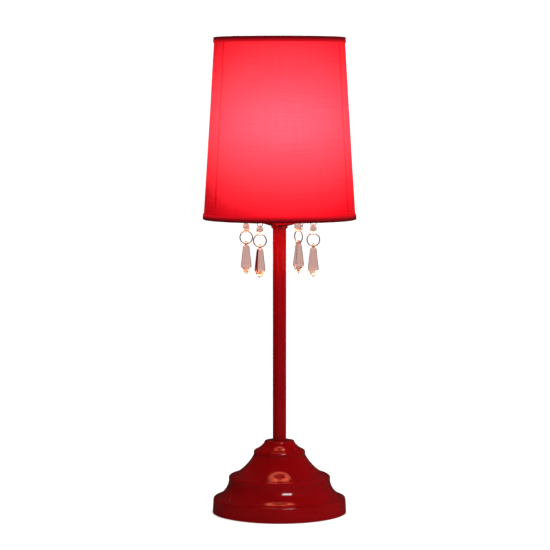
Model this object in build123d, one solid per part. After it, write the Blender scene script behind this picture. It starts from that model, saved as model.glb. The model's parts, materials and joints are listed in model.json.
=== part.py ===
from build123d import *
import math
import os

# A slim accent table lamp: a tiered steel base, a straight pole, a lampholder with its bulb, a round
# tapered fabric shade and four strands of glass that hang from a carrier at the top of the pole.
# Millimetres, +Z up, origin in the middle of the face that the lamp rests on, front towards -Y.

# Driving dimensions: the whole lamp
LAMP_HEIGHT = 425.0
SHADE_BOTTOM_Z = 263.5
SHADE_BOTTOM_R = 68.5
SHADE_TOP_R = 58.6
POLE_R = 6.0
POLE_TOP_Z = 256.6

# Base shell: three tiers, each a wall, a rounded shoulder and a concave cove up to the next wall
BASE_LIFT = 0.6
BASE_FOOT_R = 60.0
BASE_TOP_Z = 65.3
BASE_WALL = 1.2
TIERS = [
    # wall radius, wall top z, shoulder width, shoulder height, depth of the cove below its chord
    (59.4, 12.4, 2.0, 1.9, 2.6),
    (45.5, 32.4, 4.6, 2.0, 1.9),
    (23.1, 53.9, 1.5, 3.2, 0.8),
]
TIER_FEET = [(45.5, 28.8), (23.1, 52.6), (13.6, 63.6)]
BASE_EDGE_R = 1.5
HEM_Z = 2.6
HEM_T = 0.9
HEM_INNER_R = 54.5

# Pad, weight and the hardware that clamps them
PAD_R = 57.8
PAD_T = 2.5
NUT_FLATS = 14.0
NUT_T = 4.6
LOCK_WASHER_T = 1.4
WASHER_T = 1.2
WASHER_R = 12.0
WEIGHT_R = 47.0
WEIGHT_T = 8.0
WEIGHT_HUB_R, WEIGHT_HUB_T, CORD_GROOVE_W = 16.0, 4.0, 8.0
STACK_Z = 3.0

# Lamp pipe: M10, hollow for the cord
PIPE_R = 4.9
PIPE_BORE_R = 3.5
PIPE_HOLE_R = 5.0
PIPE_TOP_Z = 270.0
POLE_WALL = 0.8

# Cord bushing in the back of the base
BUSHING_Z = 7.2
BORE_W, BORE_H = 6.4, 3.0
NECK_W, NECK_H = 8.8, 5.0
FLANGE_W, FLANGE_H = 10.6, 6.4

# Collar and carrier at the neck
COLLAR_R = 7.3
COLLAR_Z = 255.4
CARRIER_Z = 257.6
CARRIER_T = 1.2
CARRIER_SLOPE = 16.3
CARRIER_DISH_R = 15.0
ARM_W_ROOT, ARM_W_TIP = 7.0, 2.2

# Strands: place of each one round the pole, and the way its ring faces, in degrees
STRAND_R = 34.5
STRAND_AZIMUTHS = [150.0, 240.0, 60.0, -30.0]
STRAND_YAWS = [0.0, 0.0, -52.0, 0.0]
EYELET_MEAN_R, EYELET_WIRE_R = 1.7, 0.5
EYELET_Z = 264.13
LINK_MEAN_R, LINK_WIRE_R = 2.4, 0.35
LINK_Z = 260.98
BEAD_HALF = 4.5
BEAD_EDGE_T, BEAD_TABLE_HALF, BEAD_TABLE_T = 1.4, 1.9, 5.8
BEAD_Z = 255.4
BEAD_HOLE_OFFSET = 3.45
BEAD_TOP_HOLE_R, BEAD_LOW_HOLE_R = 0.7, 0.8
LOOP_MEAN_R, LOOP_WIRE_R = 5.6, 0.5
LOOP_Z = 246.4
LUG_R, LUG_T, LUG_HOLE_R = 2.5, 2.2, 0.95
LUG_Z = 240.65
DROP_SIDES = 8
DROP_SHOULDER_Z, DROP_WAIST_Z, DROP_TIP_Z = 238.3, 220.6, 212.5
DROP_CROWN_R, DROP_SHOULDER_R, DROP_WAIST_R = 1.9, 3.1, 5.3
DROP_POINT_Z, DROP_POINT_R = 216.6, 3.2

# Lampholder
CAP_Z, CAP_TOP_Z = 262.3, 277.0
CAP_BOSS_R, CAP_R, CAP_WALL = 8.0, 19.0, 1.4
SKIRT_R, SKIRT_INNER_R, SKIRT_TOP_Z = 19.2, 17.1, 307.0
SHOULDER_Z, SHOULDER_TOP_Z, SHOULDER_R = 282.6, 285.6, 22.5
CORE_R, CORE_Z, CORE_FLOOR_Z, CORE_TOP_Z = 17.0, 273.0, 280.0, 303.0
CORE_BORE_R = 14.5
SHELL_MINOR_R, SHELL_WALL, SHELL_DEPTH = 13.25, 0.5, 0.5
SHELL_Z, SHELL_TOP_Z = 284.0, 303.8
SCREW_PITCH = 3.63
SWITCH_AZIMUTH = 15.0
SWITCH_Z = 271.4
SPINDLE_R, SPINDLE_CLEARANCE = 1.6, 0.06
SPINDLE_NEAR, SPINDLE_FAR = 9.6, 27.0
KNOB_R, KNOB_NEAR, KNOB_FAR, KNOB_FLUTES = 5.0, 22.0, 30.5, 12
SET_SCREW_Z, SET_SCREW_R, SET_SCREW_HOLE_R = 264.2, 1.2, 1.25
TERMINAL_X, TERMINAL_HEAD_R, TERMINAL_SHANK_R = 12.6, 2.4, 1.4

# Shade ring, fitter and bulb
FITTER_Z, FITTER_T, FITTER_INNER_R, FITTER_OUTER_R = 285.7, 1.6, 19.75, 24.0
RING_Z, RING_TOP_Z, RING_INNER_R, RING_OUTER_R = 287.45, 296.5, 19.75, 24.6
BULB_TIP_Z = 282.05
BULB_R, BULB_CENTRE_Z = 24.0, 346.0
BULB_WALL = 0.8
BULB_NECK_R, BULB_NECK_Z = 13.4, 309.25
BASE_CREST_R, BASE_ROOT_R = 12.9, 12.2
BASE_SHELL_Z, BASE_SHELL_TOP_Z = 286.4, 309.2
TIP_R, TIP_T = 4.2, 1.45
STEM_R, STEM_NECK_R, STEM_TIP_R = 9.0, 4.2, 1.4
STEM_Z, STEM_NECK_Z, STEM_TOP_Z = 309.4, 314.0, 333.0
COIL_HALF, COIL_Z, COIL_R, LEAD_R = 11.0, 348.0, 0.55, 0.3

# Shade frame and fabric
FABRIC_T = 0.8
TRIM_T, TRIM_TOP_H, TRIM_BOTTOM_H = 0.35, 4.2, 5.2
FRAME_WIRE_R, RIB_R, ARM_R = 1.25, 1.0, 1.25
RIB_AZIMUTHS = [-147.0, -27.0, 93.0]
FRAME_GAP = 0.05


def part_file(name):
    return os.path.join("parts", name + ".step")


def save(name, shape):
    shape.label = name
    export_step(shape, part_file(name))


def tube(outer_r, inner_r, low_z, high_z):
    """An upright tube round the lamp's axis."""
    height = high_z - low_z
    base = Pos(0, 0, low_z)
    body = base * Cylinder(outer_r, height, align=(Align.CENTER, Align.CENTER, Align.MIN))
    bore = base * Cylinder(inner_r, height, align=(Align.CENTER, Align.CENTER, Align.MIN))
    return body - bore


def rod(radius, low_z, high_z):
    """An upright round bar on the lamp's axis."""
    height = high_z - low_z
    return Pos(0, 0, low_z) * Cylinder(radius, height, align=(Align.CENTER, Align.CENTER, Align.MIN))


def lathe(points):
    """The solid that a closed outline of (radius, z) points sweeps round the lamp's axis."""
    outline = Polyline(*[(r, 0, z) for r, z in points], close=True)
    return revolve(make_face(outline), Axis.Z, 360)


def lathe_edges(edges):
    """The same, from a closed chain of edges in the XZ plane."""
    return revolve(make_face(Wire(edges)), Axis.Z, 360)


def bar_between(start, end, radius):
    """A straight round bar from one point to another."""
    line = Vector(*end) - Vector(*start)
    plane = Plane(origin=start, z_dir=line)
    return extrude(plane * Circle(radius), line.length)


def ring_in_plane(mean_r, wire_r, x, y, z, yaw):
    """A wire ring that stands upright, with its flat side facing the given yaw."""
    return Pos(x, y, z) * Rot(0, 0, yaw) * Rot(90, 0, 0) * Torus(mean_r, wire_r)


# Base --------------------------------------------------------------------------------------------


def base_outline(inset):
    """The shell from its foot to its flat top, as edges in the XZ plane, moved in by an inset."""
    diagonal = math.radians(45)
    edges = []
    here = (BASE_FOOT_R - inset, 0, BASE_LIFT)
    for (wall_r, wall_top, wide, high, depth), (foot_r, foot_z) in zip(TIERS, TIER_FEET):
        side_r = wall_r - inset
        ledge_z = wall_top + high - inset
        wall_end = (side_r, 0, wall_top - inset / 2)
        ledge = (side_r - wide, 0, ledge_z)
        bulge_r = side_r - wide * (1 - math.cos(diagonal))
        bulge_z = wall_end[2] + (ledge_z - wall_end[2]) * math.sin(diagonal)
        foot = (foot_r - inset, 0, foot_z - inset / 2)
        run, rise = foot[0] - ledge[0], foot[2] - ledge[2]
        chord = math.hypot(run, rise)
        hollow_r = (ledge[0] + foot[0]) / 2 - depth * rise / chord
        hollow_z = (ledge[2] + foot[2]) / 2 + depth * run / chord
        edges.append(Line(here, wall_end))
        edges.append(ThreePointArc(wall_end, (bulge_r, 0, bulge_z), ledge))
        edges.append(ThreePointArc(ledge, (hollow_r, 0, hollow_z), foot))
        here = foot
    top_z = BASE_TOP_Z - inset
    edge_start = (here[0], 0, top_z - BASE_EDGE_R)
    edge_end = (here[0] - BASE_EDGE_R, 0, top_z)
    edge_r = here[0] - BASE_EDGE_R * (1 - math.cos(diagonal))
    edge_z = top_z - BASE_EDGE_R * (1 - math.sin(diagonal))
    edges.append(Line(here, edge_start))
    edges.append(ThreePointArc(edge_start, (edge_r, 0, edge_z), edge_end))
    return edges


def base_form(inset):
    """The space inside the shell's outline, as if it were solid."""
    edges = base_outline(inset)
    top = (0, 0, BASE_TOP_Z - inset)
    foot = (0, 0, BASE_LIFT)
    edges.append(Line(edges[-1] @ 1, top))
    edges.append(Line(top, foot))
    edges.append(Line(foot, edges[0] @ 0))
    return lathe_edges(edges)


def base_shell():
    shell = base_form(0) - base_form(BASE_WALL)
    shell = shell + tube(BASE_FOOT_R - BASE_WALL / 2 - 0.1, HEM_INNER_R, HEM_Z, HEM_Z + HEM_T)
    shell = shell - rod(PIPE_HOLE_R, BASE_TOP_Z - 10, BASE_TOP_Z + 1)
    return shell - bushing_hole()


def bushing_plane(y):
    return Plane(origin=(0, y, BUSHING_Z), x_dir=(-1, 0, 0), z_dir=(0, 1, 0))


def bushing_hole():
    start = HEM_INNER_R - 2
    return extrude(bushing_plane(start) * SlotOverall(NECK_W, NECK_H), BASE_FOOT_R + 3 - start)


def cord_bushing():
    flange_y, inner_y = BASE_FOOT_R, BASE_FOOT_R - 6.0
    flange = extrude(bushing_plane(flange_y) * SlotOverall(FLANGE_W, FLANGE_H), 1.5)
    neck = extrude(bushing_plane(inner_y) * SlotOverall(NECK_W - 0.1, NECK_H - 0.1), flange_y - inner_y)
    bore = extrude(bushing_plane(inner_y - 1) * SlotOverall(BORE_W, BORE_H), 12)
    return flange + neck - bore


def hex_nut(flats, low_z, thick):
    outside = Pos(0, 0, low_z) * extrude(RegularPolygon(flats / 2, 6, major_radius=False), thick)
    cone_r = flats / 2 * 1.08
    dome = rod(cone_r, low_z, low_z + thick)
    dome = chamfer(dome.edges().filter_by(GeomType.CIRCLE), 0.5)
    return (outside & dome) - rod(PIPE_HOLE_R - 0.04, low_z - 1, low_z + thick + 1)


def lock_washer(low_z):
    ring = tube(8.2, PIPE_HOLE_R, low_z, low_z + LOCK_WASHER_T)
    slit = Pos(6.5, 0, low_z + LOCK_WASHER_T / 2) * Rot(25, 0, 0) * Box(6, 1.0, 6)
    return ring - slit


def base_weight(low_z):
    body = rod(WEIGHT_R, low_z, low_z + WEIGHT_T)
    body = chamfer(body.edges().filter_by(GeomType.CIRCLE), 1.0)
    hub = rod(WEIGHT_HUB_R, low_z + WEIGHT_T - 0.01, low_z + WEIGHT_T + WEIGHT_HUB_T)
    groove = Pos(0, 30, low_z) * Box(CORD_GROOVE_W, 60, 6)
    return body + hub - groove - rod(PIPE_HOLE_R, low_z - 1, low_z + 20)


# Strands -----------------------------------------------------------------------------------------


def strand_place(index):
    turn = math.radians(STRAND_AZIMUTHS[index])
    return STRAND_R * math.cos(turn), STRAND_R * math.sin(turn)


def strand_frame(index):
    """The strand's own frame: X along its hole axes, Y the way its ring faces."""
    x, y = strand_place(index)
    return Pos(x, y, 0) * Rot(0, 0, STRAND_YAWS[index])


def octagon(half, level):
    """The corners of an upright octagon, half its width across flats, at a level along X."""
    corner = half * math.tan(math.radians(22.5))
    pairs = [(half, corner), (corner, half), (-corner, half), (-half, corner)]
    pairs += [(-y, -z) for y, z in pairs]
    return [(level, y, z) for y, z in pairs]


def bead(index):
    points = octagon(BEAD_TABLE_HALF, -BEAD_TABLE_T / 2) + octagon(BEAD_HALF, -BEAD_EDGE_T / 2)
    points += octagon(BEAD_HALF, BEAD_EDGE_T / 2) + octagon(BEAD_TABLE_HALF, BEAD_TABLE_T / 2)
    body = ConvexPolyhedron(points)
    bored = body
    for radius, offset in ((BEAD_TOP_HOLE_R, BEAD_HOLE_OFFSET), (BEAD_LOW_HOLE_R, -BEAD_HOLE_OFFSET)):
        bored = bored - Pos(0, 0, offset) * Rot(0, 90, 0) * Cylinder(radius, BEAD_TABLE_T + 2)
    return strand_frame(index) * Pos(0, 0, BEAD_Z) * bored


def drop_ring(radius, z, turn):
    """One level of the drop's corners."""
    step = 360 / DROP_SIDES
    angles = [math.radians(turn + step * k) for k in range(DROP_SIDES)]
    return [(radius * math.cos(a), radius * math.sin(a), z) for a in angles]


def drop(index):
    half = 180 / DROP_SIDES
    body = ConvexPolyhedron(
        drop_ring(DROP_CROWN_R, DROP_SHOULDER_Z + 1.2, half)
        + drop_ring(DROP_SHOULDER_R, DROP_SHOULDER_Z, half)
        + drop_ring(DROP_WAIST_R, DROP_WAIST_Z, half)
        + drop_ring(DROP_POINT_R, DROP_POINT_Z, half)
        + [(0, 0, DROP_TIP_Z)]
    )
    lug = Pos(0, 0, LUG_Z) * Rot(0, 90, 0) * Cylinder(LUG_R, LUG_T)
    hole = Pos(0, 0, LUG_Z) * Rot(0, 90, 0) * Cylinder(LUG_HOLE_R, LUG_T + 6)
    return strand_frame(index) * (body + lug - hole)


def link(index):
    x, y = strand_place(index)
    return ring_in_plane(LINK_MEAN_R, LINK_WIRE_R, x, y, LINK_Z, STRAND_YAWS[index])


def loop(index):
    x, y = strand_place(index)
    return ring_in_plane(LOOP_MEAN_R, LOOP_WIRE_R, x, y, LOOP_Z, STRAND_YAWS[index])


def eyelet(index):
    x, y = strand_place(index)
    return ring_in_plane(EYELET_MEAN_R, EYELET_WIRE_R, x, y, EYELET_Z, STRAND_YAWS[index] + 90)


def carrier_arm(index):
    """One flat arm from the carrier's dish up to the top of its eyelet."""
    root_r, tip_r = COLLAR_R + 2, STRAND_R + ARM_W_TIP / 2
    length = (tip_r - root_r) / math.cos(math.radians(CARRIER_SLOPE))
    root_z = CARRIER_Z + (root_r - COLLAR_R) * math.tan(math.radians(CARRIER_SLOPE))
    half_root, half_tip = ARM_W_ROOT / 2, ARM_W_TIP / 2
    outline = Polyline((0, -half_root), (length, -half_tip), (length, half_tip), (0, half_root), close=True)
    blade = extrude(make_face(outline), CARRIER_T)
    blade = fillet(blade.edges().filter_by(Axis.Z).group_by(Axis.X)[-1], half_tip * 0.9)
    return Rot(0, 0, STRAND_AZIMUTHS[index]) * Pos(root_r, 0, root_z) * Rot(0, -CARRIER_SLOPE, 0) * blade


def pendant_carrier():
    slope = math.tan(math.radians(CARRIER_SLOPE))
    rise = (CARRIER_DISH_R - COLLAR_R) * slope
    dish = lathe(
        [
            (PIPE_HOLE_R, CARRIER_Z),
            (COLLAR_R, CARRIER_Z),
            (CARRIER_DISH_R, CARRIER_Z + rise),
            (CARRIER_DISH_R, CARRIER_Z + rise + CARRIER_T),
            (COLLAR_R + 1.2, CARRIER_Z + CARRIER_T),
            (PIPE_HOLE_R, CARRIER_Z + CARRIER_T),
        ]
    )
    carrier = dish
    for index in range(len(STRAND_AZIMUTHS)):
        carrier = carrier + carrier_arm(index) + eyelet(index)
    return carrier


# Lampholder --------------------------------------------------------------------------------------


def around_switch(shape):
    """Puts a shape made along +X at the height and azimuth of the switch."""
    return Rot(0, 0, SWITCH_AZIMUTH) * Pos(0, 0, SWITCH_Z) * shape


def along_x(radius, near, far):
    return Pos((near + far) / 2, 0, 0) * Rot(0, 90, 0) * Cylinder(radius, far - near)


def lampholder_cap():
    outer = lathe(
        [
            (0, CAP_Z),
            (CAP_BOSS_R, CAP_Z),
            (CAP_BOSS_R, CAP_Z + 3.5),
            (CAP_R - 3, CAP_Z + 6.0),
            (CAP_R, CAP_Z + 9.0),
            (CAP_R, CAP_TOP_Z),
            (0, CAP_TOP_Z),
        ]
    )
    inner = lathe(
        [
            (0, CAP_Z + 7.0),
            (CAP_R - 3.6, CAP_Z + 7.0),
            (CAP_R - CAP_WALL, CAP_Z + 9.6),
            (CAP_R - CAP_WALL, CAP_TOP_Z + 1),
            (0, CAP_TOP_Z + 1),
        ]
    )
    boss = around_switch(along_x(3.4, CAP_R - 2.5, CAP_R + 1.6))
    hole = around_switch(along_x(SPINDLE_R + SPINDLE_CLEARANCE, CAP_R - 9, CAP_R + 6))
    screw_hole = Pos(0, -CAP_BOSS_R, SET_SCREW_Z) * Rot(90, 0, 0) * Cylinder(SET_SCREW_HOLE_R, 8)
    return outer - inner + (boss - inner) - hole - screw_hole - rod(PIPE_HOLE_R, CAP_Z - 1, CAP_TOP_Z)


def set_screw():
    middle_y = -(PIPE_R + CAP_BOSS_R) / 2 - 0.4
    body = Pos(0, middle_y, SET_SCREW_Z) * Rot(90, 0, 0) * Cylinder(SET_SCREW_R, 3.2)
    slot = Pos(0, -CAP_BOSS_R - 0.6, SET_SCREW_Z) * Box(3, 1.4, 0.4)
    return body - slot


def lampholder_skirt():
    thread_low, thread_step, thread_high = SHOULDER_TOP_Z + 2.6, 2.4, SKIRT_TOP_Z - 1.6
    outer = [(SKIRT_INNER_R, CAP_TOP_Z + 0.1), (SKIRT_R - 0.2, CAP_TOP_Z + 0.1)]
    outer += [(SKIRT_R - 0.2, SHOULDER_Z), (SHOULDER_R, SHOULDER_Z + 0.8), (SHOULDER_R, SHOULDER_TOP_Z)]
    outer += [(SKIRT_R - 0.4, SHOULDER_TOP_Z)]
    z = thread_low
    while z + thread_step < thread_high:
        outer += [(SKIRT_R - 0.4, z), (SKIRT_R + 0.2, z + 0.8), (SKIRT_R + 0.2, z + 1.4)]
        outer += [(SKIRT_R - 0.4, z + 2.2)]
        z += thread_step
    outer += [(SKIRT_R - 0.4, SKIRT_TOP_Z), (SKIRT_INNER_R, SKIRT_TOP_Z)]
    return lathe(outer)


def lampholder_core():
    body = rod(CORE_R, CORE_Z, CORE_TOP_Z) - rod(CORE_BORE_R, CORE_FLOOR_Z, CORE_TOP_Z + 1)
    for side in (1, -1):
        pocket = Pos(side * 13.0, 0, CORE_Z + 1.6) * Box(7.0, 8.0, 6.4)
        body = body - Rot(0, 0, SWITCH_AZIMUTH + 90) * pocket
    return body


def terminal_screws():
    """Two brass binding screws, one in each pocket of the core."""
    screws = []
    for side in (1, -1):
        head = Pos(side * TERMINAL_X, 0, CORE_Z + 1.2) * Cylinder(TERMINAL_HEAD_R, 1.6)
        shank = Pos(side * TERMINAL_X, 0, CORE_Z + 3.3) * Cylinder(TERMINAL_SHANK_R, 2.8)
        slot = Pos(side * TERMINAL_X, 0, CORE_Z + 0.5) * Box(2 * TERMINAL_HEAD_R + 0.8, 0.7, 0.6)
        screws.append(Rot(0, 0, SWITCH_AZIMUTH + 90) * (head + shank - slot))
    return Compound(children=screws)


def screw_shell():
    """The rolled brass shell: ribs at the thread's pitch, clear of the bulb's own thread."""
    inner, outer = [], []
    turns = int((SHELL_TOP_Z - SHELL_Z) / SCREW_PITCH)
    for step in range(turns * 2 + 1):
        z = SHELL_Z + step * SCREW_PITCH / 2
        r = SHELL_MINOR_R + (SHELL_DEPTH if step % 2 else 0)
        inner.append((r, z))
        outer.append((r + SHELL_WALL, z))
    return lathe(inner + outer[::-1])


def centre_contact():
    foot = Pos(0, 0, CORE_FLOOR_Z + 0.3) * Box(8.0, 4.0, 0.6)
    spring = Pos(0, 0, CORE_FLOOR_Z + 1.2) * Cylinder(1.6, 1.3)
    return Rot(0, 0, SWITCH_AZIMUTH) * (foot + spring)


def switch_block():
    body = Pos(10.6, 0, -0.2) * Box(6.4, 11.0, 3.6)
    hole = along_x(SPINDLE_R + SPINDLE_CLEARANCE, 9.0, 20.0)
    return around_switch(body - hole)


def switch_spindle():
    return around_switch(along_x(SPINDLE_R, SPINDLE_NEAR, SPINDLE_FAR))


def switch_knob():
    middle = (KNOB_NEAR + KNOB_FAR) / 2
    body = along_x(KNOB_R, KNOB_NEAR, KNOB_FAR)
    body = chamfer(body.edges().filter_by(GeomType.CIRCLE).sort_by(Axis.X)[-1], 0.8)
    for k in range(KNOB_FLUTES):
        flute = Pos(middle, KNOB_R + 0.2, 0) * Rot(0, 90, 0) * Cylinder(0.6, KNOB_FAR - KNOB_NEAR + 2)
        body = body - Rot(360 / KNOB_FLUTES * k, 0, 0) * flute
    return around_switch(body - along_x(SPINDLE_R, KNOB_NEAR - 1, SPINDLE_FAR))


def shade_ring():
    body = tube(RING_OUTER_R, RING_INNER_R, RING_Z, RING_TOP_Z)
    body = chamfer(body.edges().filter_by(GeomType.CIRCLE).group_by(SortBy.RADIUS)[-1], 0.7)
    lobes = 24
    for k in range(lobes):
        groove = Rot(0, 0, 360 / lobes * k) * Pos(RING_OUTER_R + 0.4, 0, 0) * rod(1.0, RING_Z, RING_TOP_Z)
        body = body - groove
    return body


# Bulb --------------------------------------------------------------------------------------------


def bulb_profile(inset):
    """The envelope's outside, or its inside at an inset, as edges from the neck to the crown."""
    radius = BULB_R - inset
    neck_r = BULB_NECK_R - inset
    join = math.radians(-28)
    join_point = (radius * math.cos(join), 0, BULB_CENTRE_Z + radius * math.sin(join))
    side = (radius, 0, BULB_CENTRE_Z)
    turn = math.radians(45)
    upper = (radius * math.cos(turn), 0, BULB_CENTRE_Z + radius * math.sin(turn))
    lower_mid = math.radians(-14)
    lower = (radius * math.cos(lower_mid), 0, BULB_CENTRE_Z + radius * math.sin(lower_mid))
    crown = (0, 0, BULB_CENTRE_Z + radius)
    neck = (neck_r, 0, BULB_NECK_Z)
    flare = Spline(neck, join_point, tangents=[(0, 0, 1), (-math.sin(join), 0, math.cos(join))])
    return [flare, ThreePointArc(join_point, lower, side), ThreePointArc(side, upper, crown)]


def bulb_glass():
    outer = bulb_profile(0)
    inner = bulb_profile(BULB_WALL)
    foot = Line(inner[0] @ 0, outer[0] @ 0)
    crown = Line(outer[-1] @ 1, inner[-1] @ 1)
    return lathe_edges([foot] + outer + [crown] + inner[::-1])


def bulb_stem():
    return lathe(
        [
            (0, STEM_Z),
            (STEM_R, STEM_Z),
            (STEM_NECK_R, STEM_NECK_Z),
            (STEM_NECK_R - 1, STEM_TOP_Z - 4),
            (STEM_TIP_R, STEM_TOP_Z),
            (0, STEM_TOP_Z),
        ]
    )


def bulb_filament():
    """Two lead wires out of the stem, and the coil between their ends."""
    wires = bar_between((-COIL_HALF, 0, COIL_Z), (COIL_HALF, 0, COIL_Z), COIL_R)
    for side in (1, -1):
        lead_foot = (side * (STEM_TIP_R - 0.5), 0, STEM_TOP_Z + 0.1)
        wires = wires + bar_between(lead_foot, (side * COIL_HALF, 0, COIL_Z), LEAD_R)
    return wires


def bulb_base():
    """The screw base: a thin brass shell with rolled ribs at the thread's pitch."""
    outer, inner = [(BASE_ROOT_R - 2, BASE_SHELL_Z)], [(BASE_ROOT_R - 2.4, BASE_SHELL_Z + 0.5)]
    steps = int((BASE_SHELL_TOP_Z - 3 - BASE_SHELL_Z) / (SCREW_PITCH / 2))
    for step in range(1, steps + 1):
        z = BASE_SHELL_Z + step * SCREW_PITCH / 2
        r = BASE_CREST_R if step % 2 else BASE_ROOT_R
        outer.append((r, z))
        inner.append((r - 0.4, z))
    outer += [(BASE_CREST_R, BASE_SHELL_TOP_Z - 1.2), (BULB_NECK_R + 0.5, BASE_SHELL_TOP_Z)]
    inner += [(BASE_CREST_R - 0.4, BASE_SHELL_TOP_Z - 1.2), (BULB_NECK_R + 0.05, BASE_SHELL_TOP_Z)]
    return lathe(outer + inner[::-1])


def bulb_insulator():
    low_z, high_z = BULB_TIP_Z + TIP_T + 0.05, BASE_SHELL_Z - 0.05
    return lathe([(0, low_z), (TIP_R + 0.2, low_z), (BASE_ROOT_R - 2.2, high_z), (0, high_z)])


def bulb_tip():
    cap = rod(TIP_R, BULB_TIP_Z, BULB_TIP_Z + TIP_T)
    return fillet(cap.edges().group_by(Axis.Z)[0], 0.9)


# Shade -------------------------------------------------------------------------------------------

SHADE_SLOPE = (SHADE_BOTTOM_R - SHADE_TOP_R) / (LAMP_HEIGHT - SHADE_BOTTOM_Z)


def cone_r(z, inset):
    """The shade's radius at a height, measured in from the outside of its trims."""
    return SHADE_BOTTOM_R - SHADE_SLOPE * (z - SHADE_BOTTOM_Z) - inset


def cone_band(low_z, high_z, outer_inset, inner_inset):
    """A thin tapered band that follows the shade's side."""
    return lathe(
        [
            (cone_r(low_z, inner_inset), low_z),
            (cone_r(low_z, outer_inset), low_z),
            (cone_r(high_z, outer_inset), high_z),
            (cone_r(high_z, inner_inset), high_z),
        ]
    )


def trim_band(edge_z, reach_z):
    """Trim tape folded over one edge of the fabric, as a U in section."""
    inner = TRIM_T + FABRIC_T + FRAME_GAP
    high_z, low_z = max(edge_z, reach_z), min(edge_z, reach_z)
    side = cone_band(low_z, high_z, 0, TRIM_T - 0.01)
    sign = 1 if reach_z > edge_z else -1
    lip_z = edge_z + sign * 0.3
    lip = cone_band(min(edge_z, lip_z), max(edge_z, lip_z), 0, inner + 0.2)
    return side + lip


RING_OFFSET = TRIM_T + FABRIC_T + FRAME_GAP + FRAME_WIRE_R
FRAME_LOW_Z = SHADE_BOTTOM_Z + 2.0
FRAME_HIGH_Z = LAMP_HEIGHT - 2.0


def frame_ring(z):
    return Pos(0, 0, z) * Torus(cone_r(z, RING_OFFSET), FRAME_WIRE_R)


def at_azimuth(degrees, r, z):
    turn = math.radians(degrees)
    return r * math.cos(turn), r * math.sin(turn), z


def shade_rib(azimuth):
    inset = TRIM_T + FABRIC_T + FRAME_GAP + RIB_R
    low, high = FRAME_LOW_Z + FRAME_WIRE_R * 0.6, FRAME_HIGH_Z - FRAME_WIRE_R * 0.6
    start = at_azimuth(azimuth, cone_r(low, inset), low)
    end = at_azimuth(azimuth, cone_r(high, inset), high)
    return bar_between(start, end, RIB_R) - frame_ring(FRAME_LOW_Z) - frame_ring(FRAME_HIGH_Z)


def fitter_arm(azimuth):
    start = at_azimuth(azimuth, FITTER_OUTER_R - 0.4, FITTER_Z + 0.2)
    foot_z = FRAME_LOW_Z + 0.6
    end = at_azimuth(azimuth, cone_r(foot_z, RING_OFFSET) - 0.4, foot_z)
    arm = bar_between(start, end, ARM_R) - fitter_ring() - frame_ring(FRAME_LOW_Z)
    return arm - shade_rib(azimuth)


def fitter_ring():
    return tube(FITTER_OUTER_R, FITTER_INNER_R, FITTER_Z, FITTER_Z + FITTER_T)


# Write every piece -------------------------------------------------------------------------------


def build():
    os.makedirs("parts", exist_ok=True)

    washer_z = STACK_Z + NUT_T + LOCK_WASHER_T
    weight_z = washer_z + WASHER_T
    save("base_pad", rod(PAD_R, 0, PAD_T))
    save("base_shell", base_shell())
    save("base_weight", base_weight(weight_z))
    save("base_nut", hex_nut(NUT_FLATS, STACK_Z, NUT_T))
    save("base_lock_washer", lock_washer(STACK_Z + NUT_T))
    save("base_washer", tube(WASHER_R, PIPE_HOLE_R, washer_z, washer_z + WASHER_T))
    save("cord_bushing", cord_bushing())
    save("lamp_pipe", tube(PIPE_R, PIPE_BORE_R, STACK_Z - 0.2, PIPE_TOP_Z))
    save("pole_tube", tube(POLE_R, POLE_R - POLE_WALL, BASE_TOP_Z, POLE_TOP_Z))

    collar = tube(COLLAR_R, POLE_R + FRAME_GAP, COLLAR_Z, POLE_TOP_Z)
    collar = collar + tube(COLLAR_R, PIPE_HOLE_R, POLE_TOP_Z, CARRIER_Z)
    rim = collar.edges().filter_by(GeomType.CIRCLE).group_by(Axis.Z)[0].sort_by(SortBy.RADIUS)[-1]
    save("neck_collar", fillet(rim, 0.6))
    save("pendant_carrier", pendant_carrier())
    save("neck_nut", hex_nut(NUT_FLATS, CARRIER_Z + CARRIER_T, 3.0))

    save("lampholder_cap", lampholder_cap())
    save("set_screw", set_screw())
    save("lampholder_skirt", lampholder_skirt())
    save("lampholder_core", lampholder_core())
    save("terminal_screws", terminal_screws())
    save("screw_shell", screw_shell())
    save("centre_contact", centre_contact())
    save("switch_block", switch_block())
    save("switch_spindle", switch_spindle())
    save("switch_knob", switch_knob())
    save("shade_ring", shade_ring())

    save("bulb_glass", bulb_glass())
    save("bulb_stem", bulb_stem())
    save("bulb_filament", bulb_filament())
    save("bulb_base", bulb_base())
    save("bulb_insulator", bulb_insulator())
    save("bulb_tip", bulb_tip())

    low, high = SHADE_BOTTOM_Z + 0.35, LAMP_HEIGHT - 0.35
    save("shade_fabric", cone_band(low, high, TRIM_T, TRIM_T + FABRIC_T))
    save("shade_top_trim", trim_band(LAMP_HEIGHT, LAMP_HEIGHT - TRIM_TOP_H))
    save("shade_bottom_trim", trim_band(SHADE_BOTTOM_Z, SHADE_BOTTOM_Z + TRIM_BOTTOM_H))
    save("shade_top_wire", frame_ring(FRAME_HIGH_Z))
    save("shade_bottom_wire", frame_ring(FRAME_LOW_Z))
    save("fitter_ring", fitter_ring())
    for number, azimuth in enumerate(RIB_AZIMUTHS, 1):
        save(f"shade_rib_{number}", shade_rib(azimuth))
        save(f"fitter_arm_{number}", fitter_arm(azimuth))

    for index in range(len(STRAND_AZIMUTHS)):
        number = index + 1
        save(f"strand_{number}_link", link(index))
        save(f"strand_{number}_bead", bead(index))
        save(f"strand_{number}_loop", loop(index))
        save(f"strand_{number}_drop", drop(index))


build()
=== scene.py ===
import json
import math

import bmesh
import bpy
import numpy as np
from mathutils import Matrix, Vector, noise


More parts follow.
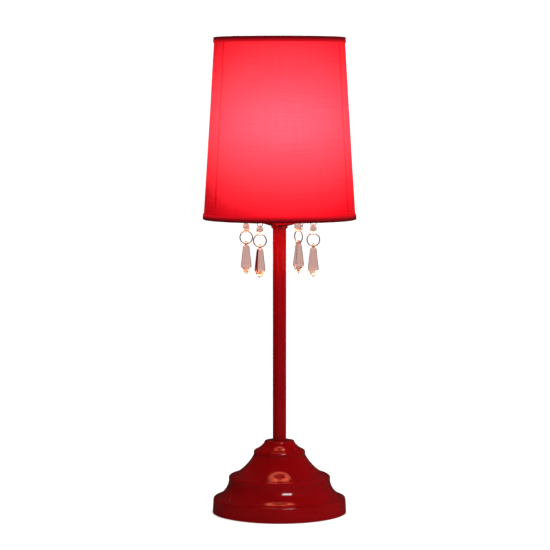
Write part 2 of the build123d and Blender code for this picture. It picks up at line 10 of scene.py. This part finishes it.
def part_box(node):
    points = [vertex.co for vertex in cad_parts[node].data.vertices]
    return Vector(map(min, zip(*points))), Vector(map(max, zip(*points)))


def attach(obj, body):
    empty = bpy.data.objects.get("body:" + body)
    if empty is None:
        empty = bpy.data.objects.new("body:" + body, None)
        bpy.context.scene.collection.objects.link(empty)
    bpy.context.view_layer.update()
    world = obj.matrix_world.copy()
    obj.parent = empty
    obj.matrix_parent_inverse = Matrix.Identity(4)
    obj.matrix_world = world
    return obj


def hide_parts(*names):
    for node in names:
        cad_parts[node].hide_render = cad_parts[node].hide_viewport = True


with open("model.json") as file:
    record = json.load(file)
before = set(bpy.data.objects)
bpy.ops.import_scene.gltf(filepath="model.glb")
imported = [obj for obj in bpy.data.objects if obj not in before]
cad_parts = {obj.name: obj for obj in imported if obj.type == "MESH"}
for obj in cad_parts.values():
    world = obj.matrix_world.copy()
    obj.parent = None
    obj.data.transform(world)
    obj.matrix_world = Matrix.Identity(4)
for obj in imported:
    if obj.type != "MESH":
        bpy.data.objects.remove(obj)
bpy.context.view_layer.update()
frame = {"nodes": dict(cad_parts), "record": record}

# Places and sizes, in metres, from the frame ------------------------------------------------------

MM = 0.001
fabric_low, fabric_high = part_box("shade_fabric")
trim_low, trim_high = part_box("shade_bottom_trim")
top_low, top_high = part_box("shade_top_trim")
bulb_low, bulb_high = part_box("bulb_glass")

SHADE_FOOT_Z = trim_low.z
SHADE_HEAD_Z = top_high.z
SHADE_FOOT_R = trim_high.x
SHADE_TAPER = (SHADE_FOOT_R - top_high.x) / (top_low.z - SHADE_FOOT_Z)
BULB_R = bulb_high.x
BULB_CENTRE = Vector((0, 0, bulb_high.z - BULB_R))
RIB_AZIMUTHS = [-147.0, -27.0, 93.0]  # degrees
CLOTH_INSET = 0.75 * MM
LINING_T = 0.25 * MM

# A painted glow on the cloth that stands in for the bulb's light through it, as cloth_glow works it
# out.
GLOW_PEAK = 5.5  # emission strength beside the bulb
GLOW_FALL = 4.2  # power of the distance it falls by
GLOW_SIDE = 0.3  # share of the painted glow left at the sides, a painted shade fixed on the cloth
GLOW_AIM = math.radians(5.0)  # azimuth of the painted dim sides; the glow is brightest at right angles to it
GLOW_FOOT = 0.38  # share of the painted glow lost at the shade's foot, a painted shadow of the lampholder
GLOW_RIB = 0.5  # share of the painted glow lost behind a rib, a painted rib shadow

# A wave texture of scale 1 repeats every this many metres.
WAVE_UNIT = 2 * math.pi / 20


def cone_r(z, inset=0.0):
    """The shade's radius at a height, measured in from the outside of its trims."""
    return SHADE_FOOT_R - SHADE_TAPER * (z - SHADE_FOOT_Z) - inset


# Mesh helpers -------------------------------------------------------------------------------------


def add_object(name, data):
    """Links a new object into the scene."""
    made = bpy.data.objects.new(name, data)
    bpy.context.scene.collection.objects.link(made)
    return made


def add_piece(name, mesh, body, replaces, sharp, material=None):
    """Links a mesh as a piece of the object, shades it, and makes it ride on its body."""
    mesh.update()
    mesh.shade_smooth()
    mesh.set_sharp_from_angle(angle=math.radians(sharp))
    piece = add_object(name, mesh)
    if material:
        mesh.materials.append(material)
    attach(piece, body)
    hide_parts(*replaces)
    return piece


def grid_mesh(name, rows, wrap_rows=False, wrap_columns=True):
    """A mesh of quads from a grid of points, rows by columns."""
    rows = np.asarray(rows, float)
    count_r, count_c = rows.shape[:2]
    faces = []
    for r in range(count_r if wrap_rows else count_r - 1):
        below, above = r * count_c, (r + 1) % count_r * count_c
        for c in range(count_c if wrap_columns else count_c - 1):
            after = (c + 1) % count_c
            faces.append((below + c, below + after, above + after, above + c))
    mesh = bpy.data.meshes.new(name)
    mesh.from_pydata(rows.reshape(-1, 3).tolist(), [], faces)
    return mesh


def turned(name, outline, segments):
    """A mesh turned round the lamp's axis from an open outline of (radius, z) points."""
    angles = np.linspace(0, 2 * math.pi, segments, endpoint=False)
    rows = [[(r * math.cos(a), r * math.sin(a), z) for a in angles] for r, z in outline]
    return grid_mesh(name, rows)


# Materials ----------------------------------------------------------------------------------------


class Paint:
    """A material and short ways to add nodes to it."""

    def __init__(self, name, **sockets):
        self.material = bpy.data.materials.new(name)
        self.material.use_nodes = True
        self.tree = self.material.node_tree
        self.shader = self.tree.nodes["Principled BSDF"]
        self.output = self.tree.nodes["Material Output"]
        for socket, value in sockets.items():
            self.shader.inputs[socket.replace("_", " ")].default_value = value

    def node(self, kind, inputs=None, **settings):
        made = self.tree.nodes.new(kind)
        for key, value in settings.items():
            setattr(made, key, value)
        for key, value in (inputs or {}).items():
            if isinstance(value, bpy.types.NodeSocket):
                self.tree.links.new(value, made.inputs[key])
            else:
                made.inputs[key].default_value = value
        return made

    def place(self, scale=(1, 1, 1), source="Object"):
        """Coordinates on the object, stretched by scale."""
        where = self.node("ShaderNodeTexCoord").outputs[source]
        return self.node("ShaderNodeMapping", {"Vector": where, "Scale": scale}).outputs[0]

    def grain(self, scale, detail=3.0, roughness=0.5, stretch=(1, 1, 1), source="Object"):
        """Noise whose marks are about 1/scale metres."""
        where = self.place(stretch, source)
        inputs = {"Vector": where, "Scale": scale, "Detail": detail, "Roughness": roughness}
        return self.node("ShaderNodeTexNoise", inputs).outputs["Fac"]

    def stripes(self, scale, source="Object", axis="X", **inputs):
        """Soft stripes across an axis, WAVE_UNIT / scale apart."""
        inputs = {"Vector": self.place(source=source), "Scale": scale, **inputs}
        return self.node("ShaderNodeTexWave", inputs, bands_direction=axis).outputs["Fac"]

    def stored(self, name):
        """The number that store() kept for each point of the mesh."""
        return self.node("ShaderNodeAttribute", attribute_name=name).outputs["Fac"]

    def spread(self, value, low, high, from_low=0.3, from_high=0.7):
        """Maps a value from one range to another."""
        inputs = {
            "Value": value,
            "From Min": from_low,
            "From Max": from_high,
            "To Min": low,
            "To Max": high,
        }
        return self.node("ShaderNodeMapRange", inputs).outputs[0]

    def colours(self, factor, *stops):
        """A colour that runs through (position, colour) stops."""
        ramp = self.node("ShaderNodeValToRGB", {"Fac": factor})
        while len(ramp.color_ramp.elements) < len(stops):
            ramp.color_ramp.elements.new(0.5)
        for element, (position, colour) in zip(ramp.color_ramp.elements, stops):
            element.position = position
            element.color = (*colour, 1)
        return ramp.outputs["Color"]

    def tint(self, factor, *stops):
        """Gives the shader a base colour that runs through (position, colour) stops."""
        self.link(self.colours(factor, *stops), "Base Color")

    def link(self, value, socket):
        self.tree.links.new(value, self.shader.inputs[socket])

    def bump(self, height, distance, strength=1.0):
        inputs = {"Height": height, "Distance": distance, "Strength": strength}
        self.link(self.node("ShaderNodeBump", inputs).outputs[0], "Normal")

    def math(self, operation, a, b):
        return self.node("ShaderNodeMath", {0: a, 1: b}, operation=operation).outputs[0]


def red_enamel():
    """Gloss enamel on pressed steel: faint orange peel, slightly deeper where it pooled."""
    paint = Paint("red_enamel", Specular_IOR_Level=0.04, Coat_Weight=1.0, Coat_Roughness=0.06)
    deep = paint.grain(26.0, 4.0)
    paint.tint(deep, (0.3, (0.142, 0.0005, 0.0012)), (0.7, (0.178, 0.0007, 0.0019)))
    paint.link(paint.spread(paint.grain(160.0), 0.16, 0.26), "Roughness")
    paint.bump(paint.grain(620.0, 2.0), 0.02 * MM, 0.35)
    return paint.material


def plated(name, colour, low=0.18, high=0.34, depth=0.01 * MM):
    """A plated or plain metal with fine wear in its shine, its roughness from low to high."""
    paint = Paint(name, Metallic=1.0)
    wear = paint.grain(700.0, 5.0)
    dull = tuple(c * 0.72 for c in colour)
    paint.tint(wear, (0.3, dull), (0.65, colour))
    paint.link(paint.spread(wear, low, high), "Roughness")
    paint.bump(paint.grain(1400.0, 2.0), depth, 0.5)
    return paint.material


def cast_iron():
    paint = Paint("cast_iron", Metallic=0.6)
    rough = paint.grain(420.0, 6.0, 0.7)
    paint.tint(rough, (0.3, (0.03, 0.03, 0.032)), (0.7, (0.13, 0.12, 0.115)))
    paint.link(paint.spread(rough, 0.6, 0.9), "Roughness")
    paint.bump(rough, 0.25 * MM, 0.8)
    return paint.material


def foam():
    paint = Paint("foam", Roughness=0.95)
    cells = paint.node("ShaderNodeTexVoronoi", {"Vector": paint.place(), "Scale": 1400.0})
    cells = cells.outputs["Distance"]
    paint.tint(cells, (0.0, (0.008, 0.008, 0.009)), (0.6, (0.035, 0.035, 0.038)))
    paint.bump(cells, 0.12 * MM, 0.7)
    return paint.material


def moulded(name, dark, light, low=0.28, high=0.42, coat=0.0):
    """Moulded plastic or ceramic with a faint mottle, its roughness from low to high."""
    paint = Paint(name, Coat_Weight=coat, Coat_Roughness=0.12)
    flow = paint.grain(180.0, 5.0, 0.6)
    paint.tint(flow, (0.35, dark), (0.65, light))
    paint.link(paint.spread(flow, low, high), "Roughness")
    paint.bump(paint.grain(1500.0, 2.0), 0.015 * MM, 0.5)
    return paint.material


def frame_enamel():
    paint = Paint("frame_enamel", Coat_Weight=0.4, Coat_Roughness=0.15)
    dip = paint.grain(240.0, 4.0)
    paint.tint(dip, (0.3, (0.66, 0.62, 0.56)), (0.7, (0.8, 0.77, 0.71)))
    paint.link(paint.spread(dip, 0.28, 0.4), "Roughness")
    paint.bump(dip, 0.04 * MM, 0.5)
    return paint.material


def glowing_glass():
    """The frosted envelope of a lit bulb, brightest round its middle, where the coil is."""
    paint = Paint("bulb_glass", Roughness=0.55, Base_Color=(1.0, 0.94, 0.85, 1))
    where = paint.node("ShaderNodeSeparateXYZ", {0: paint.place()}).outputs["Z"]
    height = paint.spread(where, 0.0, 1.0, bulb_low.z, bulb_high.z)
    neck, middle, crown = (0.55, 0.30, 0.13), (1.0, 0.86, 0.62), (1.0, 0.80, 0.54)
    lit = paint.colours(height, (0.0, neck), (0.3, middle), (0.75, middle), (1.0, crown))
    paint.link(lit, "Emission Color")
    frost = paint.grain(2600.0, 2.0)
    paint.link(paint.spread(frost, 4.2, 5.0), "Emission Strength")
    paint.bump(frost, 0.01 * MM, 0.4)
    return paint.material


def clear_glass():
    paint = Paint("clear_glass", Transmission_Weight=1.0, IOR=1.5, Base_Color=(0.95, 0.97, 0.96, 1))
    paint.link(paint.spread(paint.grain(300.0), 0.0, 0.05), "Roughness")
    return paint.material


def black_glass():
    paint = Paint("black_glass", Coat_Weight=0.6)
    swirl = paint.grain(500.0)
    paint.tint(swirl, (0.3, (0.006, 0.006, 0.007)), (0.7, (0.02, 0.02, 0.024)))
    paint.link(paint.spread(swirl, 0.08, 0.2), "Roughness")
    return paint.material


def filament():
    paint = Paint("filament", Metallic=1.0, Roughness=0.4, Emission_Color=(1.0, 0.72, 0.38, 1))
    turns = paint.stripes(900.0)
    paint.tint(turns, (0.2, (0.35, 0.3, 0.25)), (0.8, (0.8, 0.72, 0.6)))
    paint.link(paint.spread(turns, 6.0, 14.0, 0.0, 1.0), "Emission Strength")
    return paint.material


def crystal():
    """Pressed clear glass with slightly uneven facets; its warm tint is painted light, standing in
    for the red shade and the warm bulb light seen through the glass.
    """
    paint = Paint("crystal", Transmission_Weight=1.0, IOR=1.54, Base_Color=(0.52, 0.32, 0.28, 1))
    paint.link(paint.spread(paint.grain(350.0), 0.0, 0.06), "Roughness")
    paint.bump(paint.grain(380.0, 3.0), 0.12 * MM, 0.7)
    return paint.material


def shade_cloth_paint():
    """Translucent plain weave with slubs; its emission is a painted glow stored on the cloth,
    standing in for the bulb lighting it from behind.
    """
    paint = Paint("shade_cloth", Roughness=0.9, Specular_IOR_Level=0.04)
    thread = 0.42 * MM
    across, along = (
        paint.stripes(WAVE_UNIT / thread, "UV", axis, Distortion=0.35, Detail=1.0) for axis in "XY"
    )
    weave = paint.math("MULTIPLY", across, along)
    slub_h = paint.grain(90.0, 3.0, 0.6, stretch=(0.25, 9.0, 1), source="UV")
    slub_v = paint.grain(90.0, 3.0, 0.6, stretch=(9.0, 0.2, 1), source="UV")
    slub_h = paint.math("MULTIPLY", slub_h, 0.6)
    slub_v = paint.math("MULTIPLY", slub_v, 0.4)
    slubs = paint.math("ADD", slub_h, slub_v)
    paint.tint(slubs, (0.35, (0.44, 0.0012, 0.006)), (0.65, (0.56, 0.0020, 0.009)))
    glow = paint.stored("glow")
    threads = paint.spread(weave, 0.97, 1.03, 0.0, 1.0)
    patches = paint.spread(slubs, 0.90, 1.10, 0.35, 0.65)
    lit = paint.math("MULTIPLY", glow, paint.math("MULTIPLY", threads, patches))
    paint.link(lit, "Emission Strength")
    # Painted glow colour: a deeper red where the painted glow is dim.
    painted_glow_colour = paint.colours(
        paint.math("DIVIDE", glow, GLOW_PEAK),
        (0.05, (1.0, 0.003, 0.012)),
        (0.08, (1.0, 0.012, 0.028)),
        (0.11, (1.0, 0.028, 0.046)),
        (0.25, (1.0, 0.035, 0.050)),
        (0.70, (1.0, 0.028, 0.041)),
    )
    paint.link(painted_glow_colour, "Emission Color")
    paint.bump(paint.math("ADD", weave, slubs), 0.06 * MM, 0.6)
    through = paint.node("ShaderNodeBsdfTranslucent", {"Color": (0.8, 0.006, 0.012, 1)})
    share = 0.2
    inputs = {0: share, 1: paint.shader.outputs[0], 2: through.outputs[0]}
    mixed = paint.node("ShaderNodeMixShader", inputs)
    paint.tree.links.new(mixed.outputs[0], paint.output.inputs["Surface"])
    return paint.material


def lining_paint():
    """The lining bonded inside the cloth. Its red tint and its emission are painted light: a
    painted glow of the bulb's light, reddened to stand for light coloured by the cloth behind it.
    """
    emits = (1.0, 0.22, 0.12, 1)
    paint = Paint("shade_lining", Roughness=0.7, Specular_IOR_Level=0.3, Emission_Color=emits)
    tone = paint.grain(120.0, 4.0)
    paint.tint(tone, (0.3, (0.74, 0.22, 0.14)), (0.7, (0.80, 0.26, 0.17)))
    # Painted glow of the bulb's light on the lining.
    lit = paint.math("MULTIPLY", paint.stored("glow"), paint.spread(tone, 0.30, 0.34))
    paint.link(lit, "Emission Strength")
    paint.bump(tone, 0.03 * MM, 0.4)
    return paint.material


def tape_paint(name):
    """Woven binding tape, ribbed across its length. Its base colour and emission follow a painted
    glow, dim where the cloth is doubled under it, standing in for less bulb light coming through.
    """
    emits = (1.0, 0.008, 0.020, 1)
    paint = Paint(name, Roughness=0.85, Specular_IOR_Level=0.03, Emission_Color=emits)
    rib = 0.55 * MM
    ribs = paint.stripes(WAVE_UNIT / rib, "UV", Distortion=0.5)
    glow = paint.stored("glow")
    # Painted light: the tape's base colour is lighter where its painted glow is stronger.
    paint.tint(glow, (0.0, (0.045, 0.0006, 0.0012)), (1.0, (0.16, 0.0010, 0.0035)))
    lit = paint.math("MULTIPLY", glow, paint.spread(ribs, 0.85, 1.15, 0.0, 1.0))
    paint.link(lit, "Emission Strength")
    paint.bump(ribs, 0.08 * MM, 0.7)
    return paint.material


PAINTS = {
    "red_enamel": red_enamel(),
    "iron": cast_iron(),
    "zinc_steel": plated("zinc_steel", (0.62, 0.62, 0.6)),
    "foam": foam(),
    "bushing": moulded("bushing", (0.012, 0.012, 0.012), (0.03, 0.03, 0.03)),
    "phenolic": moulded("phenolic", (0.012, 0.006, 0.004), (0.05, 0.022, 0.012), 0.15, 0.3, 0.5),
    "insulator": moulded("insulator", (0.6, 0.56, 0.48), (0.78, 0.75, 0.68)),
    "brass": plated("brass", (0.78, 0.56, 0.24)),
    "bulb_glass": glowing_glass(),
    "clear_glass": clear_glass(),
    "filament": filament(),
    "bulb_metal": plated("bulb_metal", (0.78, 0.77, 0.73), 0.22, 0.4),
    "black_glass": black_glass(),
    "frame_enamel": frame_enamel(),
    "ring_metal": plated("ring_metal", (0.5, 0.48, 0.45), 0.08, 0.2, 0.004 * MM),
    "crystal": crystal(),
}

for row in frame["record"]["subparts"]:
    if row["material_slot"] in PAINTS:
        mesh = frame["nodes"][row["node"]].data
        mesh.materials.clear()
        mesh.materials.append(PAINTS[row["material_slot"]])


# Shade cloth --------------------------------------------------------------------------------------


def rib_offset(angle):
    """The arc from an angle to the nearest rib, in radians."""
    turns = [angle - math.radians(azimuth) for azimuth in RIB_AZIMUTHS]
    return min(abs((turn + math.pi) % (2 * math.pi) - math.pi) for turn in turns)


def cloth_glow(x, y, z):
    """The painted glow at a point: emission that stands in for the bulb lighting the cloth from
    behind.
    """
    radius = math.hypot(x, y)
    angle = math.atan2(y, x)
    away = math.hypot(radius, z - BULB_CENTRE.z)
    # Painted shade: the glow is fixed brighter toward front and back and dimmer at the sides.
    painted_side_falloff = abs(math.sin(angle - GLOW_AIM)) ** 1.3
    side = GLOW_SIDE + (1 - GLOW_SIDE) * painted_side_falloff
    # Painted lampholder shadow: the glow dims toward the shade's foot.
    below = max(0.0, (BULB_CENTRE.z - z) / (BULB_CENTRE.z - SHADE_FOOT_Z))
    rib_width = 1.1 * MM
    # Painted rib shadow on the glow.
    rib = 1 - GLOW_RIB * math.exp(-((rib_offset(angle) * radius / rib_width) ** 2))
    near = (cone_r(BULB_CENTRE.z) / away) ** GLOW_FALL
    return GLOW_PEAK * side * near * rib * (1 - GLOW_FOOT * below**2)


def cloth_columns():
    """Angles round the shade, closer together beside each rib."""
    per_panel = 100
    beside_mm = (-2.4, -1.8, -1.3, -0.9, -0.5, 0.5, 0.9, 1.3, 1.8, 2.4)
    middle_r_mm = 66.0
    angles = set()
    for rib in RIB_AZIMUTHS:
        start = math.radians(rib)
        for step in range(per_panel):
            angles.add(round((start + 2 * math.pi / 3 * step / per_panel) % (2 * math.pi), 6))
        for offset in beside_mm:
            angles.add(round((start + offset / middle_r_mm) % (2 * math.pi), 6))
    return sorted(angles)


def cloth_point(angle, z, inset):
    """A point of the cloth, drawn in between the ribs, raised at the seams and faintly uneven."""
    waist_depth, seam_height, seam_width = 0.45 * MM, 0.35 * MM, 1.2 * MM
    drift_height, pucker_height, edge_fade = 0.12 * MM, 0.05 * MM, 14
    rise = (z - SHADE_FOOT_Z) / (SHADE_HEAD_Z - SHADE_FOOT_Z)
    gap = rib_offset(angle)
    waist = waist_depth * math.sin(math.pi * rise) * math.sin(1.5 * min(gap, math.pi / 3)) ** 2
    seam = seam_height * math.exp(-((gap * SHADE_FOOT_R / seam_width) ** 4))
    drift_at = (math.cos(angle) * 2.2, math.sin(angle) * 2.2, z * 24.0)
    drift = noise.noise(drift_at) * drift_height
    edge = math.exp(-rise * edge_fade) + math.exp(-(1 - rise) * edge_fade)
    pucker = edge * pucker_height * math.sin(angle * 61 + 2.0 * math.sin(angle * 7))
    r = cone_r(z, inset) - waist + seam + drift + pucker
    return r * math.cos(angle), r * math.sin(angle), z


def make_cloth():
    """The cloth and its bonded lining as one closed piece, the cloth outside."""
    tuck = 0.3 * MM
    low, high = fabric_low.z + tuck, fabric_high.z - tuck
    levels = np.linspace(low, high, 72)
    heights = list(levels) + list(levels[::-1])
    insets = [CLOTH_INSET] * len(levels) + [CLOTH_INSET + LINING_T] * len(levels)
    angles = cloth_columns()
    rows = [[cloth_point(a, z, i) for a in angles + angles[:1]] for z, i in zip(heights, insets)]
    mesh = grid_mesh("shade_cloth", rows, wrap_rows=True, wrap_columns=False)
    per_row = len(angles) + 1
    inner = len(levels) * per_row
    mesh.materials.append(shade_cloth_paint())
    mesh.materials.append(lining_paint())
    for face in mesh.polygons:
        face.material_index = int(min(face.vertices) >= inner)
    layer = mesh.uv_layers.new(name="cloth")
    for loop in mesh.loops:
        row, column = divmod(loop.vertex_index, per_row)
        turn = 2 * math.pi if column == per_row - 1 else angles[column]
        layer.data[loop.index].uv = (turn * SHADE_FOOT_R, heights[row] - low)
    weld(mesh)
    store(mesh, "glow", [cloth_glow(*v.co) for v in mesh.vertices])
    return add_piece("shade_cloth", mesh, "shade", ["shade_fabric"], 80.0)


def weld(mesh):
    """Joins the two edges where a wrapped grid meets itself."""
    bm = bmesh.new()
    bm.from_mesh(mesh)
    bmesh.ops.remove_doubles(bm, verts=bm.verts, dist=0.001 * MM)
    bm.to_mesh(mesh)
    bm.free()


def store(mesh, name, values):
    """Keeps one number for each point of a mesh, for its material to read."""
    attribute = mesh.attributes.new(name, "FLOAT", "POINT")
    attribute.data.foreach_set("value", np.asarray(values, np.float32))


def make_trim(name, node, edge_z, reach, lap_azimuth, glow_low, glow_high, glow_bend):
    """Tape folded over the cloth's edge, wrapped once round, with its end lapped over its start."""
    sign = 1 if reach > 0 else -1
    thick = 0.45 * MM
    # The tape's section: how far in from the cone, and how far along from the cloth's edge.
    outline = [
        (1.75 * MM, 2.2 * MM),
        (1.75 * MM, 0.9 * MM),
        (1.45 * MM, 0.25 * MM),
        (0.85 * MM, 0.0),
        (0.25 * MM, 0.2 * MM),
        (0.0, 0.7 * MM),
        (0.0, abs(reach) * 0.5),
        (0.05 * MM, abs(reach) - 0.3 * MM),
        (0.25 * MM, abs(reach)),
        (thick + 0.05 * MM, abs(reach)),
        (thick, abs(reach) * 0.5),
        (thick + 0.02 * MM, 1.0 * MM),
        (0.95 * MM, 0.75 * MM),
        (1.3 * MM, 1.1 * MM),
        (1.3 * MM, 2.2 * MM),
    ]
    lap_height, lap_ramp, ease_height = 0.32 * MM, 0.05, 0.1 * MM
    count = 256
    start = math.radians(lap_azimuth)
    total = 2 * math.pi + math.radians(7.0)
    columns = []
    for step in range(count + 1):
        travel = total * step / count
        angle = start + travel
        over = travel - 2 * math.pi
        lift = lap_height * min(1.0, max(0.0, (over + lap_ramp) / lap_ramp))
        ease_at = (math.cos(angle) * 3, math.sin(angle) * 3, edge_z * 50)
        ease = ease_height * noise.noise(ease_at)
        columns.append((angle, lift, ease))
    rows = []
    for inset, depth in outline:
        row = []
        for angle, lift, ease in columns:
            z = edge_z + sign * (depth + (ease if depth > abs(reach) * 0.8 else 0) - lift * 0.3)
            r = cone_r(z, inset) + lift + ease * 0.5
            row.append((r * math.cos(angle), r * math.sin(angle), z))
        rows.append(row)
    mesh = grid_mesh(name, rows, wrap_rows=True, wrap_columns=False)
    layer = mesh.uv_layers.new(name="tape")
    for loop in mesh.loops:
        row, column = divmod(loop.vertex_index, count + 1)
        layer.data[loop.index].uv = (total * column / count * SHADE_FOOT_R, row * 0.6 * MM)
    ends = [[r * (count + 1) + c for r in range(len(outline))] for c in (0, count)]
    bm = bmesh.new()
    bm.from_mesh(mesh)
    bm.verts.ensure_lookup_table()
    for end in ends:
        bm.faces.new([bm.verts[i] for i in end])
    bmesh.ops.recalc_face_normals(bm, faces=bm.faces)
    bm.to_mesh(mesh)
    bm.free()
    # Painted glow along the tape: dim at the folded edge, brighter further in.
    glows = []
    for v in mesh.vertices:
        share = min(1.0, max(0.0, abs(v.co.z - edge_z) / abs(reach)))
        glows.append(glow_low + (glow_high - glow_low) * share**glow_bend)
    store(mesh, "glow", glows)
    tape = tape_paint(name + "_tape")
    return add_piece(name, mesh, "shade", [node], 50.0, tape)


cloth = make_cloth()
top_trim = make_trim(
    "top_trim",
    "shade_top_trim",
    edge_z=SHADE_HEAD_Z,
    reach=-5.0 * MM,
    lap_azimuth=-134.0,
    glow_low=0.03,
    glow_high=0.66,
    glow_bend=2.1,
)
foot_trim = make_trim(
    "bottom_trim",
    "shade_bottom_trim",
    edge_z=SHADE_FOOT_Z,
    reach=5.2 * MM,
    lap_azimuth=-112.0,
    glow_low=0.02,
    glow_high=0.67,
    glow_bend=2.2,
)


# Studio -------------------------------------------------------------------------------------------


def make_bowl():
    """A pale floor that curves up all round, far from the lamp."""
    floor_r, curve_r, wall_top, curve_steps = 3.2, 1.6, 4.2, 12
    outline = [(0.001, 0.0), (0.5, 0.0), (1.5, 0.0), (floor_r, 0.0)]
    for step in range(1, curve_steps + 1):
        a = math.radians(90 / curve_steps * step)
        outline.append((floor_r + curve_r * math.sin(a), curve_r * (1 - math.cos(a))))
    outline.append((floor_r + curve_r, wall_top))
    mesh = turned("studio_floor", outline, 96)
    mesh.shade_smooth()
    emits = {"Emission_Color": (1, 1, 1, 1), "Emission_Strength": 0.55}
    paint = Paint("studio_floor", Roughness=0.9, Specular_IOR_Level=0.1, **emits)
    even = paint.grain(1.5, 2.0)
    paint.tint(even, (0.3, (0.77, 0.77, 0.77)), (0.7, (0.79, 0.79, 0.79)))
    paint.material.cycles.emission_sampling = "NONE"
    mesh.materials.append(paint.material)
    bowl = add_object("studio_floor", mesh)
    bowl.visible_glossy = False


def make_flag():
    """A black card at the lamp's left that keeps the floor's light off it, itself unseen."""
    x, front, back, foot, head = -0.5, -0.9, 0.7, 0.005, 0.4
    rows = [[(x, front, z), (x, back, z)] for z in (foot, head)]
    mesh = grid_mesh("studio_flag", rows, wrap_columns=False)
    paint = Paint("studio_flag", Roughness=0.9, Specular_IOR_Level=0.0)
    paint.tint(paint.grain(20.0), (0.0, (0.01, 0.01, 0.01)), (1.0, (0.02, 0.02, 0.02)))
    mesh.materials.append(paint.material)
    flag = add_object("studio_flag", mesh)
    flag.visible_camera = False
    flag.visible_transmission = False
    flag.visible_glossy = False
    flag.visible_shadow = False


def aim_at(holder, place, target):
    """Puts a light or camera at a place, looking at a target."""
    holder.location = place
    away = Vector(target) - Vector(place)
    holder.rotation_euler = away.to_track_quat("-Z", "Y").to_euler()


def area_light(name, place, target, size, power, colour=(1, 1, 1), glossy=False):
    """A light that shines from place to target; without glossy, no surface mirrors it."""
    light = bpy.data.lights.new(name, "AREA")
    light.shape = "RECTANGLE"
    light.size, light.size_y = size
    light.energy = power
    light.color = colour
    holder = add_object(name, light)
    aim_at(holder, place, target)
    holder.visible_glossy = glossy
    return holder


def make_lights():
    """The studio's lights, the bulb's own light, and the light that leaves the shade's foot."""
    floor, middle = (0, 0, 0), (0, 0, 0.2)
    area_light("overhead", (0, 0, 2.6), floor, size=(2.4, 2.4), power=20.0)
    area_light("key", (2.0, -1.6, 1.2), middle, size=(1.0, 1.0), power=13.0)
    area_light("softbox", (0.5, -1.5, 1.2), middle, size=(0.62, 0.36), power=9.0, glossy=True)
    inside = bpy.data.lights.new("bulb_light", "POINT")
    inside.energy = 0.8
    inside.color = (1.0, 0.82, 0.6)
    inside.shadow_soft_size = 0.018
    holder = add_object("bulb_light", inside)
    holder.location = BULB_CENTRE
    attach(holder, "bulb")
    for node in ("bulb_glass", "bulb_stem", "bulb_filament"):
        frame["nodes"][node].visible_shadow = False
    place, warm = (0, 0, SHADE_FOOT_Z + 6 * MM), (1.0, 0.8, 0.55)
    under = area_light("under_glow", place, floor, size=(0.11, 0.11), power=0.36, colour=warm)
    under.data.shape = "DISK"
    under.visible_camera = False
    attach(under, "shade")
    world = bpy.data.worlds.new("studio")
    world.use_nodes = True
    background = world.node_tree.nodes["Background"]
    background.inputs["Color"].default_value = (0.015, 0.015, 0.015, 1)
    bpy.context.scene.world = world


def make_camera():
    """About two metres in front of the lamp, level with the upper part of the shade."""
    camera = bpy.data.cameras.new("camera")
    camera.sensor_width = 36.0
    camera.lens = 153.1
    camera.clip_start, camera.clip_end = 0.05, 50.0
    holder = add_object("camera", camera)
    aside = -0.004
    aim_at(holder, (aside, -2.08, 0.377), (aside, 0, 0.2138))
    bpy.context.scene.camera = holder
    bpy.context.scene.view_settings.view_transform = "Standard"


make_bowl()
make_flag()
make_lights()
make_camera()
